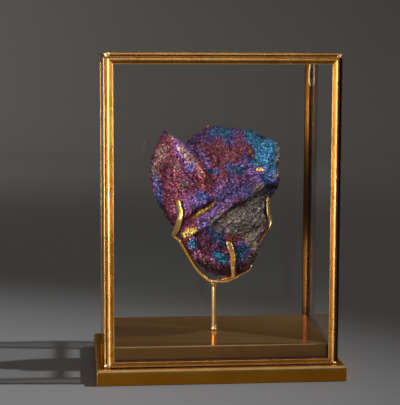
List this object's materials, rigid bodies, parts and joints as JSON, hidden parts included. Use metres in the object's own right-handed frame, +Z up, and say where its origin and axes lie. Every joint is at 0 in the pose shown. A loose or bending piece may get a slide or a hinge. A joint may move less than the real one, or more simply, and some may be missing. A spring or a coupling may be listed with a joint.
{
  "type": "boxed ore specimen",
  "caption": "Lump of iridescent peacock ore held by brass claws on a post inside a small brass-framed glass box on a brass plinth.",
  "frame": {"origin": "middle of the plinth's underside, on the surface that the box stands on", "axes": "+Z up, -Y towards the viewer's side of the box, +X to the viewer's right"},
  "size_m": [0.203, 0.14, 0.2647],
  "materials": {
    "brass": "aged satin, darkened in the corners",
    "glass": "clear polished sheet",
    "ore": "iridescent metallic tarnish in violet, red, blue and teal over a rough broken surface"
  },
  "bodies": {
    "root": {"back_arm": "brass", "front_arm": "brass", "front_channel_bottom": "brass", "front_channel_left": "brass", "front_channel_right": "brass", "front_channel_top": "brass", "front_pane": "glass", "left_arm": "brass", "left_channel_bottom": "brass", "left_channel_front": "brass", "left_channel_rear": "brass", "left_channel_top": "brass", "left_pane": "glass", "peacock_ore": "ore", "platform": "brass", "plinth": "brass", "post": "brass", "post_collar": "brass", "rear_channel_bottom": "brass", "rear_channel_left": "brass", "rear_channel_right": "brass", "rear_channel_top": "brass", "rear_pane": "glass", "right_arm": "brass", "right_channel_bottom": "brass", "right_channel_front": "brass", "right_channel_rear": "brass", "right_channel_top": "brass", "right_pane": "glass", "top_channel_front": "brass", "top_channel_left": "brass", "top_channel_rear": "brass", "top_channel_right": "brass", "top_pane": "glass"}
  },
  "joints": []
}
